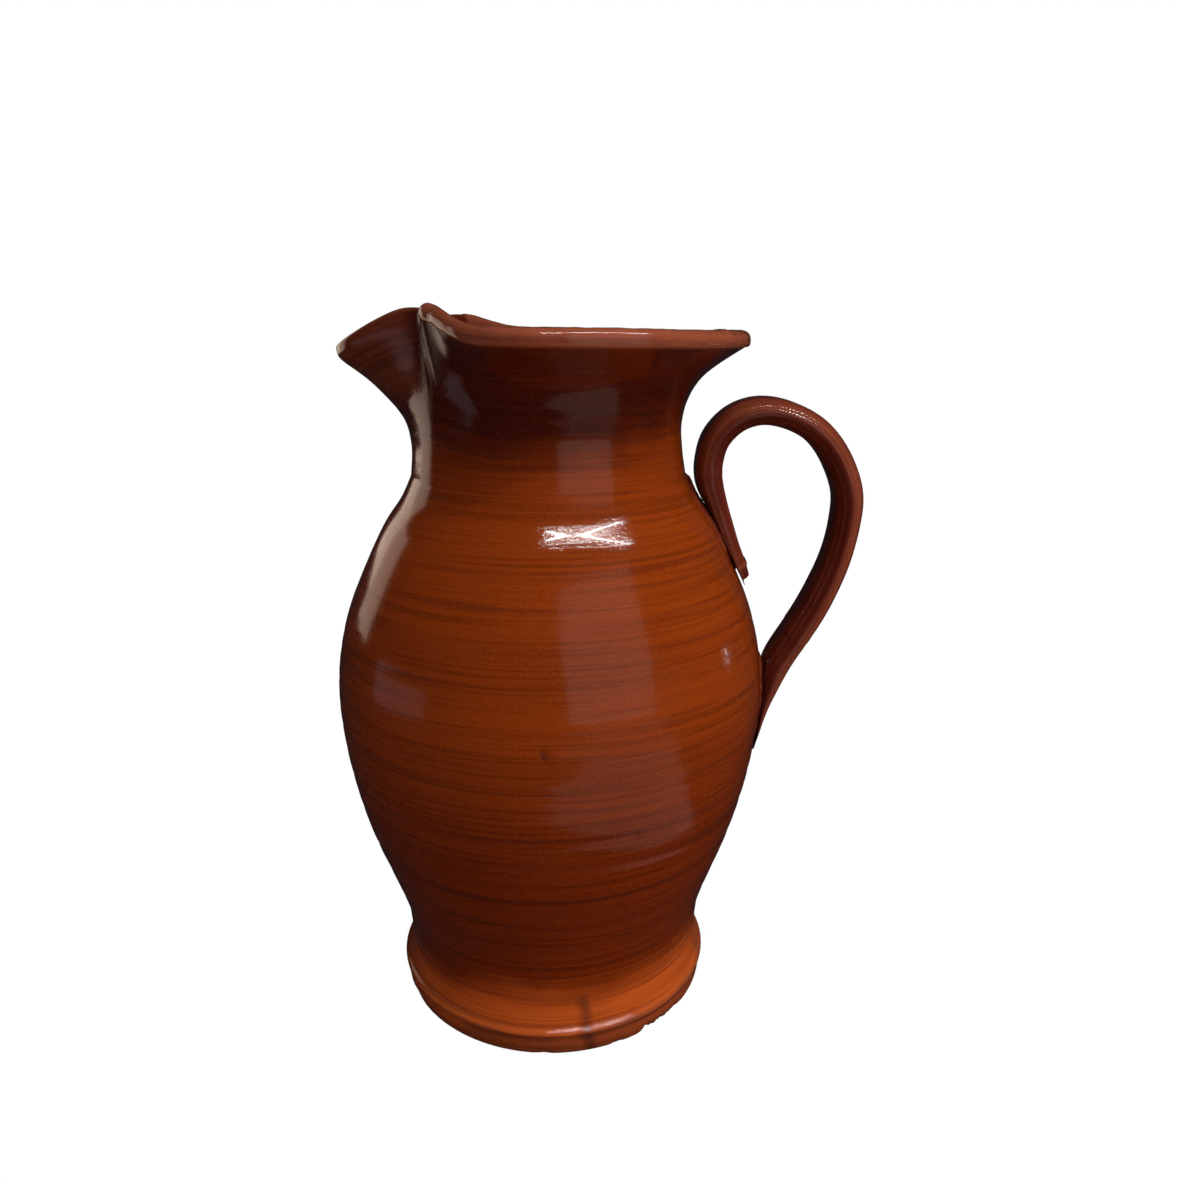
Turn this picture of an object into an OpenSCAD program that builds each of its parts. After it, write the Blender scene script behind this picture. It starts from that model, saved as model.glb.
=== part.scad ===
// Hand-thrown ceramic pitcher: a flat foot, a full belly, a narrow neck, a flared rim
// pinched into a pouring spout, and one pulled strap handle.
// The origin is at the centre of the flat base, on the axis of the wheel. +Z is up,
// the spout points along -X and the handle stands along +X.

/* [Body] */
// Height of the rim above the table
rim_h = 270.5; // [255:0.5:290]
// Radius of the flat base
base_r = 63; // [60:0.5:65]
// Radius of the rounded ridge above the base
ridge_r = 65; // [64:0.5:67]
// Radius of the waist above the foot
waist_r = 61.5; // [58:0.5:63]
// Height of the waist
waist_z = 23; // [20:1:27]
// Largest radius of the belly
belly_r = 85; // [82:0.5:90]
// Height of the belly's widest ring
belly_z = 130; // [120:1:138]
// Thickness of the belly wall
belly_wall_t = 6; // [4:0.5:7]
// Thickness of the neck wall
neck_wall_t = 5; // [4:0.5:6]
// Thickness of the floor
floor_t = 9; // [6:0.5:11]
// Radius of the floor disc inside the foot
floor_r = 48; // [44:0.5:50]

/* [Rim and spout] */
// Outer radius of the rolled rim
rim_r = 75; // [72:0.5:79]
// Height of the rolled band on the rim
lip_h = 6; // [5:0.5:7]
// How far the rolled band stands proud of the wall below it
lip_proud = 1.5; // [1:0.1:2]
// How far each pinched ear stands above the rim
ear_rise = 7; // [5:0.5:10]
// How much lower the ear on the +Y side stands
uneven = 2.5; // [0:0.5:3]
// How far the rim slopes down from its middle to the handle
rim_tilt = 1.2; // [0:0.1:1.5]
// Distance of each ear from the axis
ear_r = 55; // [53:0.5:58]
// Angle between the spout's direction and each ear
ear_angle = 44; // [38:1:48]
// Reach of the spout's tip from the axis
tip_r = 80; // [76:0.5:84]
// How far the spout's tip hangs below the rim
tip_drop = 7; // [4:0.5:9]

/* [Handle] */
// Width of the strap
strap_w = 24; // [18:0.5:26]
// Thickness of the strap
strap_t = 11; // [9:0.5:12]
// Thickness of the slip between the strap and the wall
slip_t = 0.8; // [0.6:0.1:1.2]

/* [Hidden] */
$fn = 96;
clay = "#8f3f16";
dark_glaze = "#4a130c";
red_glaze = "#6b2214";

// Clearance between two pieces that lie on each other
gap = 0.1;
// Clearance between the strap's inner face and the slip
seat = 0.3;
// Sections round the rim and round the spout, and rows up the wall
rim_steps = 64;
spout_steps = 32;
wall_rows = 8;
// Steps along the outline of the foot and of the body
foot_steps = 33;
body_steps = 48;
// The body step where the belly's wall meets the neck's
joint_i = 42;
// Sides of the strap's section, and steps between two of its stations
strap_sides = 16;
span_steps = 4;
// Roundness of the strap's section: 1 is an ellipse, 0 is a rectangle
strap_round = 0.56;
// Half-width in degrees and height of each seam, and the part of the wall that it covers
seam_a = 2.4;
seam_h = 1.4;
seam_from = 0.45;
seam_to = 0.99;
seam_steps = 10;
// Steps up a slip bed, and half of the steps across it
slip_rows = 12;
slip_half = 4;
// Height of the flared mouth above the collar, and how much narrower the collar is
mouth_h = 54.5;
collar_in = 8.5;
collar_z = rim_h - mouth_h;
collar_r = waist_r - collar_in;

// ---- curves -------------------------------------------------------------------------

function mix(a, b, t) = a + (b - a) * t;
function ease(t) = let (u = min(1, max(0, t))) u * u * (3 - 2 * u);

// One span of a Catmull-Rom curve
function span(a, b, c, d, t) =
    0.5 * (2 * b + (c - a) * t + (2 * a - 5 * b + 4 * c - d) * t * t
        + (3 * b - a - 3 * c + d) * t * t * t);

// The point of a smooth curve through the stations p, with u from 0 to 1
function along(p, u) =
    let (n = len(p) - 1, s = min(u * n, n - 0.0001), i = floor(s))
    span(p[max(0, i - 1)], p[i], p[i + 1], p[min(n, i + 2)], s - i);

function curve(p, steps) = [for (i = [0:steps]) along(p, i / steps)];

function reverse(p) = [for (i = [len(p) - 1:-1:0]) p[i]];

// ---- outline of the turned body, as [radius, height] ----------------------------------

foot_line = [
    [base_r, 0], [base_r + 0.7, 2.2], [base_r + 0.9, 4.4], [base_r + 0.8, 6.2],
    [base_r + 0.8, 7.4], [ridge_r - 0.4, 8.6], [ridge_r, 9.9], [ridge_r - 0.35, 10.9],
    [ridge_r - 1.75, 12], [ridge_r - 2.4, 14.2], [waist_r + 0.45, 17.6], [waist_r, waist_z]
];

// A place on the belly between the waist (0) and the widest ring (1)
function low(h, r) = [mix(waist_r, belly_r, r), mix(waist_z, belly_z, h)];

// A place on the shoulder between the widest ring (0) and the collar (1)
function high(h, r) = [mix(belly_r, collar_r, r), mix(belly_z, collar_z, h)];

belly_line = [
    low(0, 0), low(0.13, 0.07), low(0.28, 0.29), low(0.46, 0.58), low(0.64, 0.8),
    low(0.82, 0.94), low(1, 1), high(0.2, 0.044), high(0.4, 0.178), high(0.6, 0.406),
    high(0.78, 0.65), high(0.9, 0.87), high(1, 1)
];
body_line = curve(belly_line, body_steps);
lower_line = [for (i = [0:joint_i]) body_line[i]];
upper_line = [for (i = [joint_i:body_steps]) body_line[i]];

// Outer radius of the body at height z
function body_r(z) =
    z > collar_z ? collar_r : lookup(z, [for (p = body_line) [p.y, p.x]]);

// The wall thins evenly from the waist to the collar
function wall_t(z) = mix(belly_wall_t, neck_wall_t, (z - waist_z) / (collar_z - waist_z));

// ---- outline of the rim, the ears and the beak, from the collar to the edge ------------

edge_z = rim_h - lip_h;
round_line = [
    [collar_r, collar_z], [collar_r - 1.6, collar_z + 10], [collar_r - 2.1, collar_z + 19],
    [collar_r + 0.2, collar_z + 29], [rim_r - 15.5, edge_z - 10], [rim_r - lip_proud, edge_z]
];
ear_line = [
    [collar_r, collar_z], [collar_r - 1, collar_z + 12], [collar_r - 1, collar_z + 24],
    [collar_r - 0.6, collar_z + 35], [ear_r - 1.2, edge_z + ear_rise - 10],
    [ear_r, edge_z + ear_rise]
];
beak_line = [
    [collar_r, collar_z], [collar_r - 0.6, collar_z + 10], [collar_r + 1.6, collar_z + 19],
    [tip_r - 19, edge_z - tip_drop - 14], [tip_r - 10, edge_z - tip_drop - 5.5],
    [tip_r, edge_z - tip_drop]
];

ear_a = 180 - ear_angle;
// Degrees before each ear in which the rim moves in, and in which it rises
pinch_a = 48;
rise_a = 34;

// How far angle a, counted from the handle, is on the way from round to pinched, where the
// change takes the last w degrees before the ear
function pinch(a, w) = ease((abs(a) - ear_a + w) / w);

// How far angle a is on the way from an ear to the tip, held back more by a higher power
function beak(a, power) = ease(pow(max(0, 1 - abs(180 - abs(a)) / ear_angle), power));

// A place on the outer face, at angle a and at u from the collar (0) to the edge (1)
function upper_at(a, u) =
    let (
        rim = along(round_line, u),
        ear = along(ear_line, u) - [0, uneven * u * u * ease(0.5 + sin(a))],
        tip = along(beak_line, u),
        tilt = -rim_tilt * u * u * cos(a)
    )
    abs(a) < ear_a
        ? [mix(rim.x, ear.x, pinch(a, pinch_a)), mix(rim.y, ear.y, pinch(a, rise_a)) + tilt]
        : [mix(ear.x, tip.x, beak(a, 1.2)), mix(ear.y, tip.y, beak(a, 1.3)) + tilt];

// The inner face at the same height, so that every cut through the wall is level
function upper_in(a, u, t) =
    let (
        p = upper_at(a, u),
        d = upper_at(a, min(1, u + 0.02)) - upper_at(a, max(0, u - 0.02)),
        slope = max(0.5, d.y / norm(d))
    )
    [p.x - t / slope, p.y];

function spin(p, a) = [p.x * cos(a), p.x * sin(a), p.y];

// ---- solids ----------------------------------------------------------------------------

// A closed solid through equal rings of points. The rings turn to the right about the
// direction that they follow.
module loft(rings) {
    n = len(rings[0]);
    m = len(rings);
    points = [for (r = rings) each r];
    sides = [
        for (i = [0:m - 2], j = [0:n - 1])
            let (k = (j + 1) % n)
            each [
                [i * n + j, (i + 1) * n + k, i * n + k],
                [i * n + j, (i + 1) * n + j, (i + 1) * n + k]
            ]
    ];
    first = [[for (j = [0:n - 1]) j]];
    last = [[for (j = [n - 1:-1:0]) (m - 1) * n + j]];
    polyhedron(points, concat(sides, first, last), convexity = 8);
}

// The cross-section of the upper wall at angle a, from the collar to the level edge
function wall_ring(a, rows) = [
    for (i = [0:rows]) spin(upper_at(a, i / rows), a),
    for (i = [rows:-1:0]) spin(upper_in(a, i / rows, neck_wall_t), a)
];

// The rounded top of an edge at angle a, standing proud of the wall by extra
function crown(a, extra) =
    let (e = upper_at(a, 1), w = e.x - upper_in(a, 1, neck_wall_t).x)
    [
        [e.x + extra, e.y], [e.x + extra + 0.3, e.y + lip_h * 0.5],
        [e.x + extra - 0.8, e.y + lip_h * 0.83], [e.x + extra - 2.6, e.y + lip_h],
        [e.x - w * 0.55, e.y + lip_h * 0.93], [e.x - w * 0.82, e.y + lip_h * 0.55],
        [e.x - w, e.y]
    ];

// The same cross-section with the rounded top on it
function edge_ring(a, rows) = [
    for (i = [0:rows - 1]) spin(upper_at(a, i / rows), a),
    for (p = crown(a, 0)) spin(p, a),
    for (i = [rows - 1:-1:0]) spin(upper_in(a, i / rows, neck_wall_t), a)
];

module foot_ring() {
    inner_r = waist_r - belly_wall_t;
    color(clay) rotate_extrude() {
        polygon(concat(
            curve(foot_line, foot_steps),
            [[inner_r, waist_z], [inner_r - 1.6, floor_t + 7], [inner_r - 3.8, floor_t + 2.4],
            [floor_r, floor_t], [floor_r, 0]]
        ));
    }
}

module floor_disc() {
    color(clay) cylinder(r = floor_r, h = floor_t);
}

// A turned wall with the given outer line
module turned_wall(line) {
    inner = [for (p = line) [p.x - wall_t(p.y), p.y]];
    rotate_extrude() polygon(concat(line, reverse(inner)));
}

module belly_wall() {
    color(clay) turned_wall(lower_line);
}

module neck_wall() {
    color(dark_glaze) turned_wall(upper_line);
}

module flared_rim() {
    color(dark_glaze) loft([
        for (i = [0:rim_steps]) wall_ring(mix(ear_a, -ear_a, i / rim_steps), wall_rows)
    ]);
}

module rolled_lip() {
    color(red_glaze) loft([
        for (i = [0:rim_steps])
            let (a = mix(ear_a, -ear_a, i / rim_steps))
            [for (p = crown(a, lip_proud)) spin(p + [0, gap], a)]
    ]);
}

module pouring_spout() {
    color(red_glaze) loft([
        for (i = [0:spout_steps])
            edge_ring(mix(180 + ear_angle, 180 - ear_angle, i / spout_steps), wall_rows)
    ]);
}

// A low ridge of clay pressed into each crease, where the spout leaves the rim
module spout_seams() {
    color(red_glaze) for (side = [-1, 1]) {
        loft([
            for (i = [0:seam_steps])
                let (
                    t = i / seam_steps,
                    u = mix(seam_from, seam_to, t),
                    h = seam_h * sin(mix(15, 165, t))
                )
                [
                    for (k = [-2:2])
                        let (a = side * ear_a + k * seam_a / 2, p = upper_at(a, u))
                        spin([p.x + gap + h * cos(40 * k), p.y], a)
                ]
        ]);
    }
}

// ---- the handle ------------------------------------------------------------------------

// A cross-section of the strap at c = [x, z], with its thickness t along the normal n
function strap_ring(c, n, w, t) = [
    for (i = [0:strap_sides - 1])
        let (
            q = 360 * (i + 0.5) / strap_sides,
            s = sign(cos(q)) * pow(abs(cos(q)), strap_round) * t / 2,
            y = sign(sin(q)) * pow(abs(sin(q)), strap_round) * w / 2
        )
        [c.x + n.x * s, y, c.y + n.y * s]
];

// A point kept at least d clear of the turned body
function off_body(p, d) =
    let (r = norm([p.x, p.y]), least = body_r(p.z) + d)
    r < least ? [p.x * least / r, p.y * least / r, p.z] : p;

// The strap's centre line with its size, as [x, z, width, thickness]. It starts at the end
// of the tongue on the shoulder, goes up, over and down, and ends low on the belly.
tail_end = [
    [75.4, 175.2, strap_w * 0.8, strap_t * 0.7], [74.1, 179.5, strap_w * 0.82, strap_t * 0.68],
    [71.1, 187, strap_w * 0.85, strap_t * 0.68], [67.9, 196, strap_w * 0.9, strap_t * 0.76],
    [64.6, 205, strap_w * 0.95, strap_t * 0.85]
];
arch_points = [
    [62, 213], [61.8, 221], [64.4, 230], [71.3, 237], [81, 239.8], [92, 238], [102.3, 232],
    [110.2, 222], [115, 209], [115, 196], [112, 182], [106.5, 167], [98.5, 152], [91.5, 139.5]
];
low_end = [
    [88, 129, strap_w, strap_t * 0.75], [85.3, 118, strap_w * 0.95, strap_t * 0.45],
    [83.3, 107, strap_w * 0.8, strap_t * 0.2], [82, 101, strap_w * 0.55, strap_t * 0.1]
];
strap_line = concat(tail_end, [for (p = arch_points) [p.x, p.y, strap_w, strap_t]], low_end);
arch_from = len(tail_end);
arch_to = arch_from + len(arch_points) - 1;
strap_to = len(strap_line) - 1;
strap_curve = curve(strap_line, strap_to * span_steps);

// The strap between two of its stations. Neighbours share the ring at their joint.
module strap(from, to) {
    loft([
        for (i = [from * span_steps:to * span_steps])
            let (
                c = strap_curve[i],
                d = strap_curve[min(strap_to * span_steps, i + 1)] - strap_curve[max(0, i - 1)],
                n = [d.y, -d.x] / norm([d.x, d.y])
            )
            [for (p = strap_ring(c, n, c[2], c[3])) off_body(p, slip_t + seat)]
    ]);
}

module handle_arch() {
    color(red_glaze) strap(arch_from, arch_to);
}

module handle_tail() {
    color(red_glaze) strap(0, arch_from);
}

module handle_foot() {
    color(red_glaze) strap(arch_to, strap_to);
}

// A thin bed of slip on the body, from height z0 to z1 and w wide
module slip_bed(z0, z1, w) {
    loft([
        for (i = [0:slip_rows])
            let (
                z = mix(z0, z1, i / slip_rows),
                half = w / 2 * sqrt(sin(mix(7.2, 172.8, i / slip_rows))),
                r = body_r(z) + gap
            )
            [
                for (k = [slip_half:-1:-slip_half])
                    let (y = half * k / slip_half, t = slip_t * (1 - 0.8 * pow(k / slip_half, 4)))
                    [sqrt(pow(r + t, 2) - y * y), y, z],
                for (k = [-slip_half:slip_half])
                    let (y = half * k / slip_half)
                    [sqrt(r * r - y * y), y, z]
            ]
    ]);
}

module upper_slip() {
    color(dark_glaze) slip_bed(217, 171, strap_w + 5);
}

module lower_slip() {
    color(dark_glaze) slip_bed(147, 97, strap_w + 7);
}

foot_ring();
floor_disc();
belly_wall();
neck_wall();
flared_rim();
rolled_lip();
pouring_spout();
spout_seams();
handle_arch();
handle_tail();
handle_foot();
upper_slip();
lower_slip();
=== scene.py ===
"""Looks of the hand-thrown pitcher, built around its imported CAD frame.

The vessel is drawn as one half-outline, spun on the wheel's axis, pinched into its spout
and then cut into its floor, foot, belly, neck, mouth and rolled edge. The handle is one
pulled strap, bent into place and cut at its two joints. Sizes are in millimetres until the
frame's own unit turns them into metres.
"""
import math

import bpy
import numpy as np
from mathutils import Matrix, Vector


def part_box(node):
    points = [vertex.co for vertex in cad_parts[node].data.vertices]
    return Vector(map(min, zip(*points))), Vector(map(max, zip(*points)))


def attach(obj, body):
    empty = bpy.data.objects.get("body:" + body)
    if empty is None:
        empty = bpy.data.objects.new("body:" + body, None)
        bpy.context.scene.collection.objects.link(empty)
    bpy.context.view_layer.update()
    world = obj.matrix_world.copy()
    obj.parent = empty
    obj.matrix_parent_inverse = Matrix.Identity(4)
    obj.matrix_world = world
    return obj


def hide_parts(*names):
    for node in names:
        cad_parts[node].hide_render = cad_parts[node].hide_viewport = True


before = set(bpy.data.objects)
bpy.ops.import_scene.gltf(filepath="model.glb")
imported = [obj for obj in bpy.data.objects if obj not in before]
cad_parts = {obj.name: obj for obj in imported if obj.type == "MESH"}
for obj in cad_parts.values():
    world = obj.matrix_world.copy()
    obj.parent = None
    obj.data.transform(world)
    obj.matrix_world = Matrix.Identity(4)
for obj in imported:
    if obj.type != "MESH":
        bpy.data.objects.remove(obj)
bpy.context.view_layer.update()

# ---- sizes, taken from the frame ---------------------------------------------------------

floor_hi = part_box("floor_disc")[1]
foot_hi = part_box("foot_ring")[1]
belly_lo, belly_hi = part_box("belly_wall")
neck_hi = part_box("neck_wall")[1]

BELLY_WIDTH_MM = 170.0
MM = (belly_hi[0] - belly_lo[0]) / BELLY_WIDTH_MM

# Radii and heights of the foot and the body
ridge_r = foot_hi[0] / MM
waist_z = foot_hi[2] / MM
belly_r = belly_hi[0] / MM
collar_z = neck_hi[2] / MM
floor_r = floor_hi[0] / MM
floor_t = floor_hi[2] / MM
joint_z = belly_hi[2] / MM
base_r = ridge_r - 2.0
waist_r = ridge_r - 3.5
collar_r = waist_r - 8.5
belly_z = waist_z + 107.0

# The mouth: its rolled edge, its two ears and the spout's tip
rim_h = collar_z + 54.5
LIP_H = 6.0
edge_z = rim_h - LIP_H
RIM_R = 75.0
LIP_PROUD = 1.5
EAR_R = 55.0
EAR_RISE = 7.0
TIP_R = 80.0
TIP_DROP = 7.0
RIM_TILT = 1.2
# One ear stands lower than the other by this much
UNEVEN = 2.5
# Degrees from the handle round to an ear, and how far the pinch and the rise reach back from it
EAR_A = 136.0
PINCH_A = 48.0
RISE_A = 34.0

# Thicknesses of the wall, and sizes of the strap and of the slip under it
BELLY_WALL = 6.0
NECK_WALL = 5.0
STRAP_W = 24.0
STRAP_T = 11.0
SLIP_T = 0.8

# ---- curves ------------------------------------------------------------------------------


def mix(a, b, t):
    return a + (b - a) * t


def ease(t):
    t = np.clip(t, 0.0, 1.0)
    return t * t * (3.0 - 2.0 * t)


def hump(x, centre, width):
    """A smooth hill of height 1 at centre."""
    return np.exp(-(((x - centre) / width) ** 2))


def between(a, b, c, d, t):
    """The stretch from b to c of a smooth curve through four stations, at t from 0 to 1."""
    return 0.5 * (2 * b + (c - a) * t + (2 * a - 5 * b + 4 * c - d) * t ** 2
                  + (3 * b - a - 3 * c + d) * t ** 3)


def along(stations, u):
    """Points of a smooth curve through the stations, for an array u from 0 to 1."""
    p = np.asarray(stations, dtype=float)
    last = len(p) - 1
    s = np.clip(np.asarray(u, dtype=float) * last, 0.0, last - 1e-6)
    i = np.floor(s).astype(int)
    t = (s - i)[..., None]
    return between(p[np.maximum(i - 1, 0)], p[i], p[i + 1], p[np.minimum(i + 2, last)], t)


def turn_gap(a, b):
    """Degrees between two directions round the axis, from -180 to 180."""
    return (a - b + 180.0) % 360.0 - 180.0


# ---- outline of the turned body, as radius and height ------------------------------------

foot_line = [
    (base_r, 0.6), (base_r + 0.7, 2.2), (base_r + 0.9, 4.4), (base_r + 0.8, 6.2),
    (base_r + 0.8, 7.4), (ridge_r - 0.4, 8.6), (ridge_r, 9.9), (ridge_r - 0.35, 10.9),
    (ridge_r - 1.75, 12.0), (ridge_r - 2.4, 14.2), (waist_r + 0.45, 17.6), (waist_r, waist_z),
]


def low(h, r):
    return (mix(waist_r, belly_r, r), mix(waist_z, belly_z, h))


def high(h, r):
    return (mix(belly_r, collar_r, r), mix(belly_z, collar_z, h))


belly_line = [
    low(0, 0), low(0.13, 0.07), low(0.28, 0.29), low(0.46, 0.58), low(0.64, 0.8),
    low(0.82, 0.94), low(1, 1), high(0.2, 0.044), high(0.4, 0.178), high(0.6, 0.406),
    high(0.78, 0.65), high(0.9, 0.87), high(1, 1),
]
body_samples = along(belly_line, np.linspace(0, 1, 400))


def body_r(z):
    """Outer radius of the body at height z."""
    return np.interp(z, body_samples[:, 1], body_samples[:, 0])


def wall_t(z):
    return mix(BELLY_WALL, NECK_WALL, (z - waist_z) / (collar_z - waist_z))


# ---- outlines of the mouth, from the collar to its edge -----------------------------------

round_line = [
    (collar_r, collar_z), (collar_r - 1.6, collar_z + 10), (collar_r - 2.1, collar_z + 19),
    (collar_r + 0.2, collar_z + 29), (RIM_R - 15.5, edge_z - 10), (RIM_R - LIP_PROUD, edge_z),
]
ear_line = [
    (collar_r, collar_z), (collar_r - 1, collar_z + 12), (collar_r - 1, collar_z + 24),
    (collar_r - 0.6, collar_z + 35), (EAR_R - 1.2, edge_z + EAR_RISE - 10),
    (EAR_R, edge_z + EAR_RISE),
]
beak_line = [
    (collar_r, collar_z), (collar_r - 0.6, collar_z + 10), (collar_r + 1.6, collar_z + 19),
    (TIP_R - 19, edge_z - TIP_DROP - 14), (TIP_R - 10, edge_z - TIP_DROP - 5.5),
    (TIP_R, edge_z - TIP_DROP),
]


def pinch(a, w):
    """0 where the rim is round, 1 at an ear. The change takes the last w degrees."""
    return ease((np.abs(a) - EAR_A + w) / w)


def beak(a, power):
    """0 at an ear, 1 at the spout's tip."""
    near = np.clip(1.0 - np.abs(180.0 - np.abs(a)) / (180.0 - EAR_A), 0.0, 1.0)
    return ease(near ** power)


def mouth_at(a, u):
    """Radius and height of the mouth's outer face, at angles a and at u up its wall."""
    rim, ear, tip = along(round_line, u), along(ear_line, u), along(beak_line, u)
    ear_h = ear[..., 1] - UNEVEN * u * u * ease(0.5 + np.sin(np.radians(a)))
    tilt = -RIM_TILT * u * u * np.cos(np.radians(a))
    on_spout = np.abs(a) >= EAR_A
    r = np.where(on_spout, mix(ear[..., 0], tip[..., 0], beak(a, 1.2)),
                 mix(rim[..., 0], ear[..., 0], pinch(a, PINCH_A)))
    z = np.where(on_spout, mix(ear_h, tip[..., 1], beak(a, 1.3)),
                 mix(rim[..., 1], ear_h, pinch(a, RISE_A)))
    return r, z + tilt


def mouth_inside(a, u):
    r, z = mouth_at(a, u)
    r1, z1 = mouth_at(a, np.minimum(1.0, u + 0.02))
    r0, z0 = mouth_at(a, np.maximum(0.0, u - 0.02))
    slope = np.maximum(0.5, (z1 - z0) / np.hypot(r1 - r0, z1 - z0))
    return r - NECK_WALL / slope, z


# ---- marks of the hand on the outer face --------------------------------------------------

# Grooves left by the fingers, as height, depth, width and how far each one wanders
THROWING_RINGS = [
    (36.0, 0.16, 2.2, 0.6), (47.5, 0.22, 2.4, 0.8), (60.0, 0.3, 2.6, 1.0),
    (74.0, 0.42, 2.4, 1.0), (88.5, 0.46, 2.2, 1.2), (101.5, 0.42, 2.0, 1.1),
    (112.0, 0.16, 1.6, 0.9), (120.0, 0.34, 1.8, 1.3), (130.5, 0.16, 1.5, 1.0),
    (139.5, 0.24, 1.6, 1.2), (149.0, 0.12, 1.5, 0.9), (157.0, 0.14, 1.6, 1.0),
    (166.0, 0.07, 1.9, 0.8), (174.5, 0.05, 2.0, 1.0), (184.0, 0.03, 2.2, 0.8),
    (192.0, 0.02, 2.4, 0.7), (214.0, 0.02, 2.4, 0.8), (224.0, 0.03, 2.0, 0.7),
    (233.0, 0.05, 1.8, 0.6), (241.0, 0.04, 1.6, 0.5),
]
# Small pits in the glaze, as angle, height, depth, width and length
PITS = [(-87.3, 135.3, 0.5, 0.7, 1.5), (-64.2, 100.1, 0.4, 0.8, 0.8), (28.0, 150.0, 0.4, 0.7, 0.9),
        (102.0, 88.0, 0.45, 0.8, 0.8), (160.0, 171.0, 0.35, 0.7, 1.1)]
# A dragged patch of slip on the belly, left of the front, and how far it spreads
PATCH_A = -117.0
PATCH_Z = 128.0
PATCH_SPREAD = 7.0
# The run of glaze over the foot
RUN_A = -74.8
RUN_TOP_Z = 27.0
# How far each ring is turned from the one below it, in radians
RING_PHASE = 2.4


def ring_path(k, rad):
    """Height of ring k at angles rad: it wanders up and down as it goes round."""
    ring_z, wander = THROWING_RINGS[k][0], THROWING_RINGS[k][3]
    phase = RING_PHASE * k
    return ring_z + wander * np.sin(rad + phase) + 0.35 * wander * np.sin(3 * rad + 2 * phase)


def pit(a, z, pit_a, pit_z, width, length):
    """The shape of one small pit, 1 at its deepest."""
    across = np.radians(turn_gap(a, pit_a)) * belly_r
    return hump(across, 0, width) * hump(z, pit_z, length)


def hand_marks(a, z):
    """How far the outer face stands out (+) or in (-) at angles a and heights z."""
    rad = np.radians(a)
    d = np.zeros(np.broadcast(a, z).shape)
    for k, (_, depth, width, _) in enumerate(THROWING_RINGS):
        path = ring_path(k, rad)
        strength = depth * (0.75 + 0.25 * np.sin(2 * rad + RING_PHASE * k))
        shelf = 3.2 * width
        d -= strength * hump(z, path, width)
        d -= 0.45 * strength * (1 - ease(np.abs(z - path + shelf) / shelf))
    for pit_a, pit_z, depth, width, length in PITS:
        d -= depth * pit(a, z, pit_a, pit_z, width, length)
    patch = hump(turn_gap(a, PATCH_A), 0, PATCH_SPREAD) * hump(z, PATCH_Z, PATCH_SPREAD)
    d += 0.1 * patch * np.sin(z * 1.7 + 9 * rad) * np.sin(z * 0.9 - 31 * rad)
    # The wheel's slight wobble
    sway = 0.22 * np.sin(2 * rad + 0.9) + 0.1 * np.sin(3 * rad + z * 0.02)
    d += (sway - 0.32) * ease((z - waist_z) / 30.0)
    return d


def run_across(a, z):
    """Distance in mm from the middle of the run, which leans as it goes down."""
    middle = RUN_A + 0.09 * (18.0 - z) + 0.4 * np.sin(z * 0.45)
    return np.radians(turn_gap(a, middle)) * ridge_r


def foot_marks(a, z):
    """The run of glaze over the foot, with a shallow dip along each side of it."""
    across = run_across(a, z)
    run = ease((RUN_TOP_Z - z) / 4.0) * ease((z - 2.0) / 2.0)
    return 0.4 * hump(across, 0, 2.3) * run - 0.15 * hump(np.abs(across), 3.6, 1.2) * run


CHIPS = [(-50.0, 2.2, 2.2), (-44.0, 3.0, 1.5), (-36.0, 4.0, 1.2), (-63.0, 2.0, 0.6),
         (-90.0, 2.0, 0.5), (20.0, 4.0, 0.9), (115.0, 6.0, 0.8), (-150.0, 4.0, 0.7)]


def chips(a, z):
    """How far the base's edge is chipped away."""
    d = np.zeros(np.broadcast(a, z).shape)
    for chip_a, width, depth in CHIPS:
        d += depth * hump(turn_gap(a, chip_a), 0, width) * (1 + 0.4 * np.sin(2.9 * a))
    return np.maximum(0.0, d) * (1 - ease((z - 0.5) / 4.0))


def mouth_marks(a, u):
    """The pressed seam between each ear and the spout, and faint rings."""
    side = np.abs(a)
    seam_a = EAR_A - 0.5 - 4.0 * (1 - ease((u - 0.55) / 0.45))
    seam = 0.08 * hump(side, seam_a, 1.3) * ease((u - 0.42) / 0.2)
    press = 0.35 * hump(side, EAR_A + 8.0, 7.0) * ease((u - 0.4) / 0.4)
    rad = np.radians(a)
    rings = 0.03 * np.sin(u * 41 + np.sin(rad)) * np.sin(u * 17 + 2 * rad)
    return seam - press + rings - 0.1


def ear_hollow(a, u):
    """Depth of the hollow right under the end of the rolled edge."""
    return 0.55 * hump(np.abs(a), EAR_A - 9.0, 7.0) * ease((u - 0.7) / 0.28)


# ---- rows of the wall's outline: the base, up the outside, over the edge, down the inside --

COLUMNS = 352
FOOT_ROWS, BODY_ROWS, MOUTH_ROWS, EDGE_ROWS = 40, 150, 50, 24
MOUTH_INSIDE_ROWS, BODY_INSIDE_ROWS = 28, 44
# Below, the base is hollowed by a hair inside this radius, and stands on the ring outside it
HOLLOW_R = 58.0
HOLLOW = 0.5
BASE_RADII = (0.0, 6.0, 14.0, 24.0, 36.0, floor_r, 53.0, 57.0, 60.0, base_r - 1.2, base_r - 0.4)
FLOOR_RADII = (floor_r, 40.0, 32.0, 24.0, 16.0, 8.0, 0.0)
# The vessel's parts, in the order of the outline
PARTS = ["floor", "foot", "belly", "neck", "mouth", "edge"]


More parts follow.
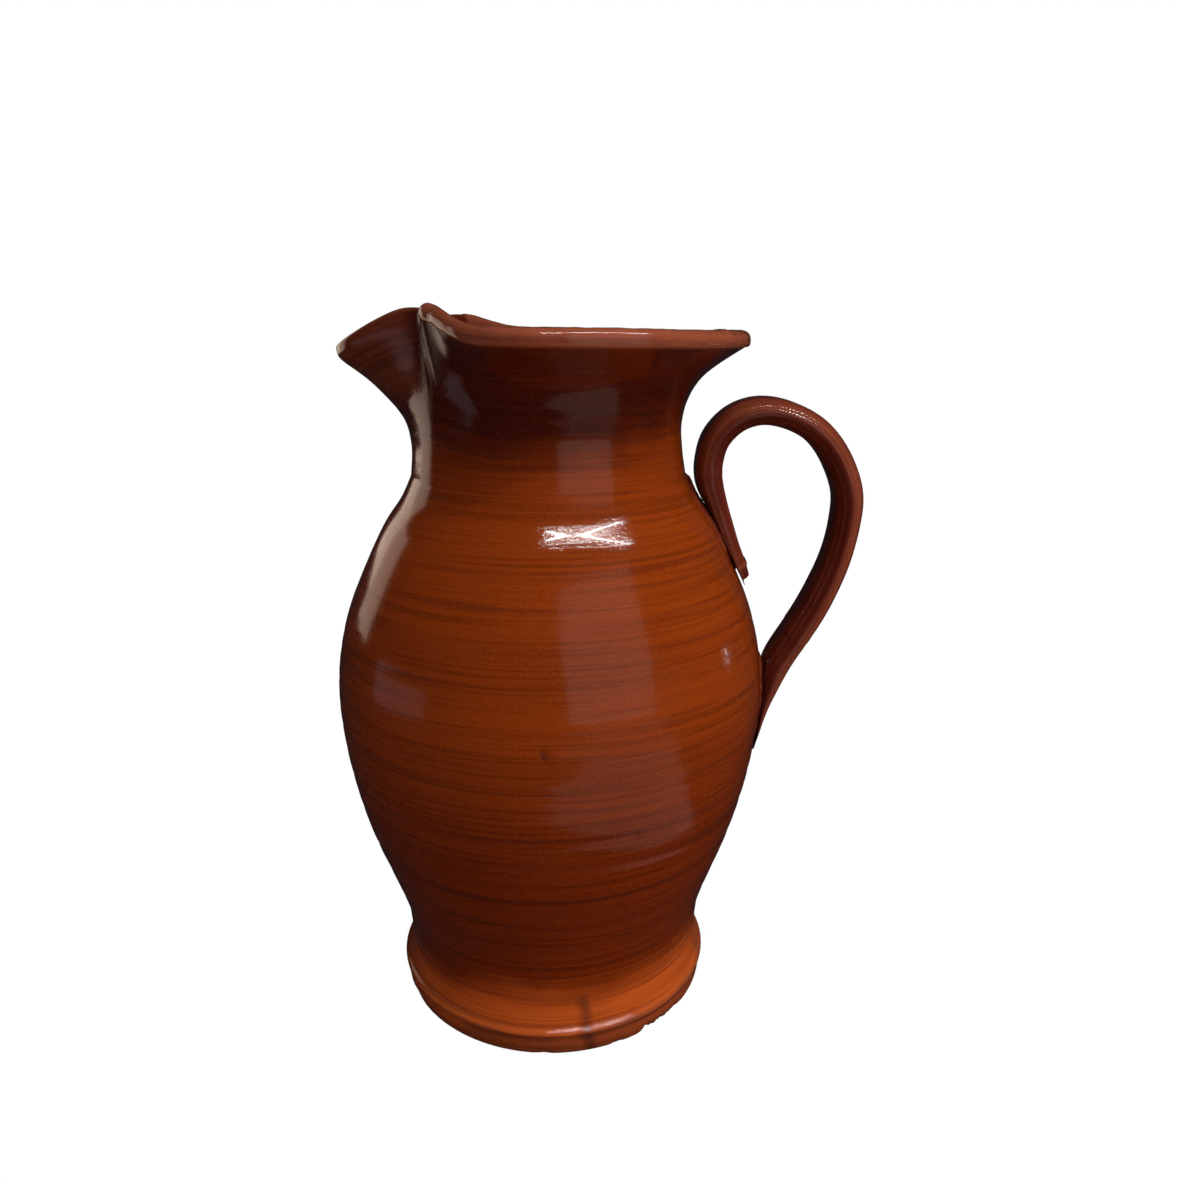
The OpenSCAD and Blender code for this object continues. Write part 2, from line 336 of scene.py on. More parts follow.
def column_angles():
    """Angles of the columns in degrees, closer together beside the two ears."""
    a = np.linspace(-180, 180, 7201)
    density = 1 + 2.2 * hump(np.abs(a), EAR_A, 8.0) + 1.0 * hump(a, RUN_A, 5.0)
    total = np.concatenate([[0], np.cumsum((density[1:] + density[:-1]) / 2)])
    return np.interp(np.arange(COLUMNS) / COLUMNS * total[-1], total, a)


ANGLES = column_angles()


def lip_outline(a, r, z, inner_r, wall_r):
    """Rows of the edge at angles a, from the wall's outer face (wall_r, z) over to its inner one."""
    side = np.abs(a)
    # The roll ends in a rounded knob at the ear, and the spout's edge starts below its top
    from_end = np.clip((EAR_A + 1.0 - side) / 6.0, 0, 1)
    proud = LIP_PROUD * np.sqrt(1 - (1 - from_end) ** 2) + 0.35 * hump(side, EAR_A - 3.0, 3.0)
    past = np.clip((side - EAR_A + 2.5) / 3.5, 0, 1)
    dip = (1 - np.sqrt(1 - past ** 2)) * (1 - ease((side - EAR_A - 2.0) / 15.0))
    dip = np.where(a < 0, dip, 0.2 * ease(past))
    tall = 1 - 1.8 * dip / LIP_H
    w = r - inner_r
    notch = 0.9 * hump(turn_gap(a, -27.0), 0, 1.6) - 0.35 * hump(turn_gap(a, -31.0), 0, 2.0)
    rad = np.radians(a)
    wave = 0.22 * np.sin(5 * rad + 1.0) + 0.16 * np.sin(9 * rad)
    dents = (0.07 * np.sin(31 * rad + 2 * np.sin(4 * rad)) + 0.05 * np.sin(57 * rad)) * (proud > 0.3)
    stations = [
        (wall_r, 0 * r), (r + proud * 0.7, 0.15), (r + proud + 0.15, 0.8),
        (r + proud + 0.3 + dents, 2.2), (r + proud + 0.1 + dents, 3.7 + wave * 0.5),
        (r + proud - 0.7 + dents, 5.0 + wave * 0.7 - notch * 0.5),
        (r + proud - 2.4, LIP_H - 0.15 + wave * 0.5 - notch + dents),
        (r - w * 0.5, LIP_H - 0.3 - notch), (r - w * 0.78, LIP_H - 1.6),
        (r - w * 0.95, LIP_H - 3.6), (inner_r, 0),
    ]
    return np.array([(out + 0 * r, z + tall * up) for out, up in stations])


class Outline:
    """The rows: the place of each at every column, its place before the pinch, and its part."""

    def __init__(self):
        self.place, self.turned, self.part, self.thin = [], [], [], []

    def row(self, r, z, round_r, round_z, part, thin=0.0):
        full = np.ones(COLUMNS)
        self.place.append(np.stack([r * full, z * full], axis=-1))
        self.turned.append(np.stack([round_r * full, round_z * full], axis=-1))
        self.part.append(part)
        self.thin.append(thin * full)


def base_rows(rows):
    """The underside, from its middle out."""
    for r in BASE_RADII:
        z = HOLLOW * max(0.0, 1 - (r / HOLLOW_R) ** 4)
        worn = chips(ANGLES, np.zeros(COLUMNS)) if r > HOLLOW_R else 0.0
        lifted = 0.1 if r > base_r - 1 else 0.0
        rows.row(r - 0.7 * worn, z + 0.25 * worn + lifted, r, z, "floor" if r < floor_r else "foot")


def foot_and_body_rows(rows):
    """Up the outside, from the base's edge to the collar."""
    a = ANGLES
    for u in np.linspace(0, 1, FOOT_ROWS, endpoint=False):
        r, z = along(foot_line, u)
        marks = foot_marks(a, z) * ease((z - 0.5) / 2)
        thin = 0.35 * hump(z, 10.4, 1.4) + 0.3 * hump(z, 1.6, 1.2)
        rows.row(r + marks - chips(a, z), z + 0.2 * chips(a, z), r, z, "foot", thin)
    for u in np.linspace(0, 1, BODY_ROWS, endpoint=False):
        r, z = along(belly_line, u)
        marks = (hand_marks(a, z) + foot_marks(a, z)) * ease((z - waist_z) / 6 + 0.05)
        rows.row(r + marks, z, r, z, "belly" if z < joint_z else "neck")


def mouth_rows(rows):
    """Up the outside of the mouth, closer together towards its edge."""
    a = ANGLES
    for u in np.linspace(0, 1, MOUTH_ROWS, endpoint=False) ** 0.92:
        r, z = mouth_at(a, np.full_like(a, u))
        round_r, round_z = along(round_line, u)
        at_collar = hand_marks(a, z) * (1 - ease(u / 0.3))
        marks = (mouth_marks(a, u) - ear_hollow(a, u)) * ease(u / 0.25)
        rows.row(r + marks + at_collar, z, round_r, round_z, "mouth")


def edge_rows(rows):
    """Over the rolled edge and the spout's plain one."""
    a = ANGLES
    r, z = mouth_at(a, np.ones_like(a))
    inner_r = mouth_inside(a, np.ones_like(a))[0]
    outer = r + mouth_marks(a, 1.0)
    round_r, round_z = along(round_line, 1.0)
    stations = lip_outline(a, outer, z, inner_r, outer - ear_hollow(a, 1.0))
    rolled = ease((EAR_A + 0.5 - np.abs(a)) / 3.0)
    for u in np.linspace(0, 1, EDGE_ROWS):
        at = lip_at(stations, u)
        thin = rolled * (0.9 * hump(u, 0.15, 0.05) + 0.35 * hump(u, 0.5, 0.12)) \
            + (1 - rolled) * 0.35 * hump(u, 0.6, 0.12)
        over = round_z + LIP_H * math.sin(math.pi * u)
        rows.row(at[0], at[1], round_r + 2 - 7 * u, over, "edge", thin)


def inside_rows(rows):
    """Down the inside of the mouth, the neck and the belly, and over the floor to its middle."""
    a = ANGLES
    for u in np.linspace(1, 0, MOUTH_INSIDE_ROWS)[1:]:
        r, z = mouth_inside(a, np.full_like(a, u))
        round_r, round_z = along(round_line, u)
        marks = 0.5 * mouth_marks(a, u) * ease(u / 0.25)
        rows.row(r + marks, z, round_r - NECK_WALL, round_z, "mouth")
    for u in np.linspace(1, 0, BODY_INSIDE_ROWS)[1:]:
        r, z = along(belly_line, u)
        inner = r - wall_t(z)
        rings = 0.25 * np.sin(z * 0.42 + np.radians(a)) * ease((r - 52) / 6) * ease((z - 30) / 8)
        rows.row(inner + rings, z, inner, z, "belly" if z < joint_z else "neck")
    inner = waist_r - BELLY_WALL
    for r, z in ((inner - 0.5, 19.0), (inner - 1.6, floor_t + 7), (inner - 3.8, floor_t + 2.4),
                 (floor_r + 1.6, floor_t + 0.5)):
        rows.row(r, z, r, z, "foot")
    for r in FLOOR_RADII:
        spiral = 0.25 * math.cos(r * 0.8) - 0.25
        rows.row(r, floor_t + spiral, r, floor_t, "floor" if r < floor_r else "foot")


def vessel_rows():
    """The whole outline, with the bend at the spout's edge rounded."""
    rows = Outline()
    base_rows(rows)
    foot_and_body_rows(rows)
    mouth_rows(rows)
    edge_rows(rows)
    inside_rows(rows)
    place = np.array(rows.place)
    ease_spout_edge(place, rows.part.index("mouth") + MOUTH_ROWS // 2, rows.part.index("edge") + 10)
    return place, np.array(rows.turned), rows.part, np.array(rows.thin)


def ease_spout_edge(place, first, last):
    """Rounds the bend between the spout's flared face and its upright edge, between two rows."""
    amount = 0.5 * ease((np.abs(ANGLES) - EAR_A - 0.5) / 3.0)[None, :, None]
    for _ in range(60):
        middle = place[first + 1:last]
        step = (place[first:last - 1] + place[first + 2:last + 1]) / 2 - middle
        place[first + 1:last] = middle + amount * step


def lip_at(stations, u):
    """Radius and height at u over the edge, for every column."""
    last = len(stations) - 1
    s = min(u * last, last - 1e-6)
    i = int(s)
    return between(stations[max(i - 1, 0)], stations[i], stations[i + 1], stations[min(i + 2, last)],
                   s - i)


# ---- helpers for meshes -------------------------------------------------------------------


def start_fresh():
    if bpy.context.object and bpy.context.object.mode != "OBJECT":
        bpy.ops.object.mode_set(mode="OBJECT")
    bpy.ops.object.select_all(action="DESELECT")


def pick_all():
    bpy.ops.mesh.select_all(action="SELECT")


def in_edit(piece, mode="VERT"):
    start_fresh()
    piece.select_set(True)
    bpy.context.view_layer.objects.active = piece
    bpy.ops.object.mode_set(mode="EDIT")
    bpy.ops.mesh.select_mode(type=mode)


def points_of(mesh):
    co = np.empty(len(mesh.vertices) * 3)
    mesh.vertices.foreach_get("co", co)
    return co.reshape(-1, 3)


def put_points(mesh, co):
    mesh.vertices.foreach_set("co", np.ascontiguousarray(co, dtype=float).ravel())
    mesh.update()


def keep(mesh, name, values):
    """Stores one number or one vector per vertex."""
    values = np.ascontiguousarray(values, dtype=np.float32)
    kind, field = ("FLOAT", "value") if values.ndim == 1 else ("FLOAT_VECTOR", "vector")
    layer = mesh.attributes.get(name) or mesh.attributes.new(name, kind, "POINT")
    layer.data.foreach_set(field, values.ravel())


def kept(mesh, name, size=1):
    out = np.empty(len(mesh.vertices) * size, dtype=np.float32)
    mesh.attributes[name].data.foreach_get("value" if size == 1 else "vector", out)
    return out if size == 1 else out.reshape(-1, size)


def keep_normals(mesh):
    """Stores the whole shape's normals, so that its cut pieces still shade as one."""
    n = np.empty(len(mesh.vertices) * 3, dtype=np.float32)
    mesh.vertex_normals.foreach_get("vector", n)
    keep(mesh, "whole_normal", n.reshape(-1, 3))


def shade_as_whole(piece, cap_from):
    """Smooth shading with the stored normals. Faces from cap_from on are flat cuts."""
    mesh = piece.data
    mesh.shade_smooth()
    whole = kept(mesh, "whole_normal", 3)
    loops = np.empty(len(mesh.loops), dtype=np.int32)
    mesh.loops.foreach_get("vertex_index", loops)
    normals = whole[loops]
    for face in mesh.polygons[cap_from:]:
        for k in face.loop_indices:
            normals[k] = face.normal
    mesh.normals_split_custom_set(normals.tolist())
    mesh.attributes.remove(mesh.attributes["whole_normal"])


def cut_apart(piece, part_of_face, names):
    """Separates a mesh into named pieces by the part number of each face."""
    mesh = piece.data
    mesh.materials.clear()
    marks = [bpy.data.materials.new("part_" + name) for name in names]
    for mark in marks:
        mesh.materials.append(mark)
    mesh.polygons.foreach_set("material_index", np.asarray(part_of_face, dtype=np.int32))
    in_edit(piece, "FACE")
    pick_all()
    bpy.ops.mesh.separate(type="MATERIAL")
    bpy.ops.object.mode_set(mode="OBJECT")
    found = {}
    for obj in bpy.context.selected_objects:
        slots = obj.data.materials
        used = obj.data.polygons[0].material_index if len(slots) > 1 else 0
        found[slots[used].name[len("part_"):]] = obj
        slots.clear()
    for mark in marks:
        bpy.data.materials.remove(mark)
    return found


def face_outwards(piece):
    in_edit(piece, "FACE")
    pick_all()
    bpy.ops.mesh.normals_make_consistent(inside=False)
    bpy.ops.object.mode_set(mode="OBJECT")


def bridge_rows(piece, first, second):
    """Closes a level cut between two rows of the outline."""
    mesh = piece.data
    row = np.rint(kept(mesh, "row")).astype(int)
    ends = np.empty(len(mesh.edges) * 2, dtype=np.int32)
    mesh.edges.foreach_get("vertices", ends)
    ends = row[ends.reshape(-1, 2)]
    on_rim = ((ends == first).all(axis=1)) | ((ends == second).all(axis=1))
    in_edit(piece, "EDGE")
    bpy.ops.mesh.select_all(action="DESELECT")
    bpy.ops.object.mode_set(mode="OBJECT")
    mesh.edges.foreach_set("select", on_rim)
    bpy.ops.object.mode_set(mode="EDIT")
    bpy.ops.mesh.bridge_edge_loops()
    bpy.ops.object.mode_set(mode="OBJECT")


# ---- the vessel ---------------------------------------------------------------------------


def spin_vessel(outline):
    """Draws the outline as a chain of edges and spins it once round the wheel's axis."""
    start_fresh()
    bpy.ops.mesh.primitive_plane_add(size=0.001, location=(0, 0, 0))
    vessel = bpy.context.object
    vessel.name = "vessel"
    in_edit(vessel)
    pick_all()
    bpy.ops.mesh.merge(type="CENTER")
    here = np.zeros(3)
    for k, (r, z) in enumerate(outline):
        there = np.array([r * MM, 0.0, z * MM])
        if k == 0:
            bpy.ops.transform.translate(value=tuple(there - here))
        else:
            bpy.ops.mesh.extrude_region_move(
                TRANSFORM_OT_translate={"value": tuple(there - here)})
        here = there
    bpy.ops.object.mode_set(mode="OBJECT")
    mesh = vessel.data
    keep(mesh, "row", np.arange(len(mesh.vertices), dtype=float))
    in_edit(vessel)
    pick_all()
    bpy.ops.mesh.spin(steps=COLUMNS, angle=2 * math.pi, center=(0, 0, 0), axis=(0, 0, 1))
    pick_all()
    bpy.ops.mesh.remove_doubles(threshold=1e-6)
    bpy.ops.mesh.normals_make_consistent(inside=False)
    bpy.ops.object.mode_set(mode="OBJECT")
    return vessel


def round_axis(place, angle):
    """Points in metres, from radii and heights at angles round the wheel's axis."""
    r, z = place[:, 0], place[:, 1]
    return np.stack([r * np.cos(angle), r * np.sin(angle), z], axis=-1) * MM


def build_vessel():
    place, turned, part, thin = vessel_rows()
    vessel = spin_vessel(turned[:, 0])
    mesh = vessel.data
    co = points_of(mesh)
    row = np.rint(kept(mesh, "row")).astype(int)
    # The first column lies at the spout, so that the closer columns fall beside the ears
    column = np.rint(np.arctan2(co[:, 1], co[:, 0]) / (2 * math.pi / COLUMNS)).astype(int)
    column = (column % COLUMNS + COLUMNS // 2) % COLUMNS
    a = ANGLES[column]
    at = place[row, column]
    put_points(mesh, round_axis(at, np.radians(a)))
    keep(mesh, "turned", round_axis(turned[row, 0], np.radians(a)))
    keep(mesh, "thin", thin[row, column])
    # Thick glaze, and painted shade in hollows and grooves
    keep(mesh, "pool", pooled_and_shaded(a, at[:, 1], row, part))
    keep(mesh, "lip", rolled_colour(a, at[:, 1], row, part))
    keep_normals(mesh)

    # A face belongs to the run of its first row
    run_of = face_runs(part)
    corner = np.empty(len(mesh.loops), dtype=np.int32)
    mesh.loops.foreach_get("vertex_index", corner)
    starts = np.empty(len(mesh.polygons), dtype=np.int32)
    mesh.polygons.foreach_get("loop_start", starts)
    first_row = np.minimum.reduceat(row[corner], starts)
    found = cut_apart(vessel, [PARTS.index(run_of[r]) for r in first_row], PARTS)

    cuts = level_cuts(run_of)
    for name in PARTS:
        piece = found[name]
        whole_faces = len(piece.data.polygons)
        for first, second in cuts[name]:
            bridge_rows(piece, first, second)
        face_outwards(piece)
        shade_as_whole(piece, whole_faces)
        piece.data.attributes.remove(piece.data.attributes["row"])
    return found


def face_runs(part):
    """The part that the faces between row k and row k + 1 belong to."""
    order = [PARTS.index(name) for name in part]
    return [PARTS[min(here, there)] for here, there in zip(order, order[1:])]


def level_cuts(runs):
    """For each part, the pairs of rows that bound its cuts."""
    turns = [k for k in range(1, len(runs)) if runs[k] != runs[k - 1]]
    cuts = {name: [] for name in PARTS}
    # The rows where the run changes pair up from the outside in: first with last
    while len(turns) > 1:
        first, last = turns.pop(0), turns.pop()
        for name in {runs[first - 1], runs[first]}:
            cuts[name].append((first, last))
    return cuts


def rolled_colour(a, z, row, part):
    """Where the glaze is red: the rolled rim, and less so the spout."""
    side = np.abs(a)
    last_edge = len(part) - 1 - part[::-1].index("edge")
    on_edge = (row >= part.index("edge")) & (row < last_edge + 4)
    rolled = np.where(on_edge, ease((EAR_A + 0.5 - side) / 3.0), 0.0)
    spout = 0.45 * ease((side - EAR_A - 4.0) / 10.0) * ease((z - edge_z + 26.0) / 14.0)
    return np.clip(rolled + spout, 0, 1)


def pooled_and_shaded(a, z, row, part):
    """Where the glaze is darkened: thick glaze in the run and the pits, painted shade in the hollows
    under the ears, and darkening in the rings and the foot's groove that is partly thick glaze and
    partly painted shade.
    """
    run = 0.7 * hump(run_across(a, z), 0, 2.4) * ease((RUN_TOP_Z - z) / 5.0)
    # Partly thick glaze, partly painted shade, in the groove under the foot's ridge
    groove = 0.12 * hump(z, 7.4, 1.6)
    # Partly thick glaze, partly painted shade, along the upper side of each ring's groove
    rings = np.zeros_like(z)
    for k, (_, depth, width, _) in enumerate(THROWING_RINGS):
        rings += 0.6 * depth * hump(z, ring_path(k, np.radians(a)) + 0.6, 0.8 * width)
    # Painted shade in the hollow under each ear's overhanging roll
    ear_shade = 0.8 * hump(np.abs(a), EAR_A - 5.0, 4.0) * ease((z - edge_z + 16) / 12)
    pits = np.zeros_like(z)
    for pit_a, pit_z, _, width, length in PITS:
        pits += 1.6 * pit(a, z, pit_a, pit_z, 0.8 * width, 0.9 * length)
    outside = row <= part.index("edge")
    return np.where(outside, np.clip(run + groove + rings + ear_shade + pits, 0, 1), 0.0)


# ---- the handle ---------------------------------------------------------------------------

TAIL_END = [
    (75.4, 175.2, STRAP_W * 0.8, STRAP_T * 0.7), (74.1, 179.5, STRAP_W * 0.82, STRAP_T * 0.68),
    (71.1, 187, STRAP_W * 0.85, STRAP_T * 0.68), (67.9, 196, STRAP_W * 0.9, STRAP_T * 0.76),
    (64.6, 205, STRAP_W * 0.95, STRAP_T * 0.85),
]
ARCH = [
    (62, 213), (61.8, 221), (64.4, 230), (71.3, 237), (81, 239.8), (92, 238), (102.3, 232),
    (110.2, 222), (115, 209), (115, 196), (112, 182), (106.5, 167), (98.5, 152), (91.5, 139.5),
]
LOW_END = [
    (88, 129, STRAP_W, STRAP_T * 0.75), (85.3, 118, STRAP_W * 0.95, STRAP_T * 0.45),
    (83.3, 107, STRAP_W * 0.8, STRAP_T * 0.2), (82, 101, STRAP_W * 0.55, STRAP_T * 0.1),
]
strap_line = TAIL_END + [(x, z, STRAP_W, STRAP_T) for x, z in ARCH] + LOW_END
SPAN_STEPS = 12
AROUND = 96
arch_first = len(TAIL_END) * SPAN_STEPS
arch_last = (len(TAIL_END) + len(ARCH) - 1) * SPAN_STEPS
strap_rows = (len(strap_line) - 1) * SPAN_STEPS
# The fold above the lower end, and the crease below the arch's upper leg
fold_row = arch_last - SPAN_STEPS
crease_row = arch_first + 2
# Lengths along the strap: the blunt block at the tail's end, its rounding, how much of the tail is
# laid down on the wall, and the closing of the lower end
TAIL_BLOCK = 4.6
TAIL_ROUND = 0.9
TAIL_LAID = 6.0
LOW_CLOSE = 5.0


# How square the strap is on its face towards the opening and on its other face, how much squarer
# its sides are, and how far each face is bevelled
SQUARE_IN, SQUARE_OUT, SQUARE_SIDES = 4.2, 3.2, 0.4
BEVEL_IN, BEVEL_OUT = 0.4, 0.16


def strap_section(q):
    """Outline of the pulled strap, from -1 to 1 across its thickness and its width.

    Its face towards the opening (+1) is flat between two bevels, and the other is rounder."""
    c, s = np.cos(q), np.sin(q)
    square = np.where(c > 0, SQUARE_IN, SQUARE_OUT)
    thick = np.sign(c) * np.abs(c) ** (2 / square)
    wide = np.sign(s) * np.abs(s) ** (2 / (square + SQUARE_SIDES))
    return thick, wide * (1 - BEVEL_IN * np.clip(thick - 0.1, 0, 1) - BEVEL_OUT * ease(-thick))


def strap_frame():
    """Centre with width and thickness, outward normal, and length along, for each row."""
    centre = along(strap_line, np.arange(strap_rows + 1) / strap_rows)
    ahead = np.gradient(centre[:, :2], axis=0)
    ahead /= np.linalg.norm(ahead, axis=1)[:, None]
    normal = np.stack([ahead[:, 1], -ahead[:, 0]], axis=-1)
    length = np.concatenate([[0], np.cumsum(np.linalg.norm(np.diff(centre[:, :2], axis=0), axis=1))])
    return centre, normal, length


def round_off(t):
    """The height of a quarter circle, from 0 at t = 0 to 1 at t = 1."""
    return np.sqrt(np.clip(1 - (1 - np.clip(t, 0, 1)) ** 2, 0, 1))


def wrap_strap(mesh):
    """Wraps the flat grid round the strap's line, and keeps what the strap's glaze reads."""
    flat = points_of(mesh)
    q = 2 * np.pi * (flat[:, 0] + 0.5)
    row = np.rint((flat[:, 1] + 0.5) * strap_rows).astype(int)
    centre, normal, length = strap_frame()
    run = length[row]

    thick, wide = strap_section(q)
    across = np.abs(wide)
    # Lengthwise pulling lines, and finger waves
    pull = 0.14 * np.sin(9 * q + 0.012 * run) * (0.6 + 0.4 * np.sin(run * 0.045))
    pull += 0.1 * np.sin(17 * q + 1.1 + 0.02 * run)
    wave = 0.25 * np.sin(run * 0.11 + 0.8) + 0.18 * np.sin(run * 0.23 + q)
    half_t = centre[row, 3] / 2
    half_w = centre[row, 2] / 2
    s = thick * half_t + (pull + 0.4 * wave - 0.3) * thick
    y = wide * half_w + (pull + wave - 0.45) * wide
    # A slanting fold where the strap was bent back to the belly
    fold = run - length[fold_row] + 2.5 * y / half_w
    s += 0.22 * thick * (hump(fold, -1.6, 1.2) - 1.1 * hump(fold, 0, 0.6)) * across
    crease = run - length[crease_row]
    s -= 0.15 * np.maximum(0, thick) * hump(crease, 0, 1.8)
    y -= 0.15 * wide * hump(crease, 0, 2.0)
    # The tail's skin curls over its blunt, cut end
    curl = run - TAIL_BLOCK
    block = ease(-curl / 0.7)
    s += np.maximum(0, thick) * (0.4 * hump(curl, 0.6, 0.8) - 0.12 * block)
    y -= wide * 0.15 * block
    # Rounded ends
    close = round_off(run / TAIL_ROUND)
    fade = round_off((length[-1] - run) / LOW_CLOSE)
    s = s * (0.9 + 0.1 * close) * (0.1 + 0.9 * fade)
    y = y * (0.95 + 0.05 * close) * (0.05 + 0.95 * fade)
    # The tail's underside is thick and hangs lower towards its end, where it lies on the wall
    laid = ease((TAIL_LAID - run) / (TAIL_LAID - 1.0))
    s = np.where(thick < 0, s * (1 + 1.3 * laid), s)
    x = centre[row, 0] + normal[row, 0] * s
    z = centre[row, 1] + normal[row, 1] * s - 0.9 * np.clip(-thick, 0, 1) * laid
    # Nothing goes into the wall: the inner face lies on the slip
    r = np.hypot(x, y)
    least = body_r(z) + SLIP_T + 0.25
    grow = np.where((z < collar_z + 2) & (r < least), least / r, 1.0)
    put_points(mesh, np.stack([x * grow, y * grow, z], axis=-1) * MM)

    keep(mesh, "strap", np.stack([s, y, run], axis=-1) * MM)
    edge = hump(thick, -0.5, 0.3) * (across > 0.5)
    keep(mesh, "thin", np.clip(0.5 * edge + 0.5 * hump(curl, 0.6, 1.0), 0, 1))
    # Painted shade: the inner face towards the opening, from the arch on, and the block at the
    # tail's cut end; the fold and the crease are darkened partly as thick glaze and partly as
    # painted shade
    dark = 0.6 * hump(fold, 0.1, 0.7) * across + 0.25 * hump(crease, 0, 1.6)
    dark += 0.75 * ease((thick - 0.1) / 0.14) * ease((run - length[arch_first]) / 12.0)
    keep(mesh, "pool", np.clip(dark + block * 0.55, 0, 1))
    keep(mesh, "row", row.astype(float))


def close_holes():
    """In edit mode: fills every open edge, and turns the faces outwards."""
    bpy.ops.mesh.select_all(action="DESELECT")
    bpy.ops.mesh.select_non_manifold()
    bpy.ops.mesh.fill_holes(sides=0)
    pick_all()
    bpy.ops.mesh.normals_make_consistent(inside=False)


def build_handle():
    start_fresh()
    bpy.ops.mesh.primitive_grid_add(x_subdivisions=AROUND, y_subdivisions=strap_rows, size=1)
    strap = bpy.context.object
    strap.name = "strap"
    mesh = strap.data
    wrap_strap(mesh)
    in_edit(strap)
    pick_all()
    bpy.ops.mesh.remove_doubles(threshold=1e-7)
    pick_all()
    bpy.ops.mesh.normals_make_consistent(inside=False)
    close_holes()
    bpy.ops.object.mode_set(mode="OBJECT")
    mesh = strap.data
    keep_normals(mesh)

    rows = np.rint(kept(mesh, "row")).astype(int)
    part = []
    for face in mesh.polygons:
        lowest = min(rows[v] for v in face.vertices)
        part.append(0 if lowest < arch_first else (1 if lowest < arch_last else 2))
    found = cut_apart(strap, part, ["tail", "arch", "foot"])
    for piece in found.values():
        whole_faces = len(piece.data.polygons)
        in_edit(piece)
        close_holes()
        bpy.ops.object.mode_set(mode="OBJECT")
        shade_as_whole(piece, whole_faces)
        piece.data.attributes.remove(piece.data.attributes["row"])
    return found


# The beds of slip under the strap: how wide, how far their feathered edge sinks into the wall, how
# thick they lie over that, and how thick the bed itself is
BED_W = STRAP_W + 1.5
BED_SUNK = 0.28
BED_PROUD = 1.2
BED_T = 0.6


def build_slip(name, z_low, z_high, turn):
    """A smeared bed of slip between the strap and the wall, thin at its ragged edge."""
    start_fresh()
    bpy.ops.mesh.primitive_grid_add(x_subdivisions=72, y_subdivisions=120, size=1)
    bed = bpy.context.object
    bed.name = name
    mesh = bed.data
    flat = points_of(mesh)
    u, v = flat[:, 0] * 2, flat[:, 1] + 0.5
    z = mix(z_low, z_high, v)
    rag = 0.6 * np.sin(z * 0.33 + turn + u) + 0.25 * np.sin(z * 0.81 + 2 * turn - u)
    half = (BED_W / 2 + rag) * np.sqrt(np.sin(np.pi * np.clip(0.03 + 0.94 * v, 0, 1)))
    y = half * u
    # Thick beside the strap, feathered out to nothing at the edge
    rim = np.maximum(np.abs(u), np.abs(2 * v - 1) ** 3)
    feather = 1 - ease((rim - 0.7) / 0.3)
    lumps = 0.16 * np.sin(z * 1.3 + 3 * u + turn) * np.sin(y * 1.7 + turn)
    r = body_r(z) + (feather * (BED_PROUD + lumps) - BED_SUNK)
    x = np.sqrt(np.maximum(r * r - y * y, 1.0))
    at = np.stack([x, y, z], axis=-1) * MM
    put_points(mesh, at)
    keep(mesh, "turned", at)
    keep(mesh, "thin", 0.3 * (1 - feather))
    keep(mesh, "pool", 0.55 * feather)
    wall = bed.modifiers.new("bed", "SOLIDIFY")
    wall.thickness = BED_T * MM
    wall.offset = -1
    bpy.context.view_layer.objects.active = bed
    bpy.ops.object.modifier_apply(modifier=wall.name)
    face_outwards(bed)
    bed.data.shade_smooth()
    return bed


# ---- glaze and clay -----------------------------------------------------------------------


def opaque(colour):
    """A plain colour gets its alpha; a socket stays as it is."""
    return (*colour, 1) if isinstance(colour, tuple) else colour


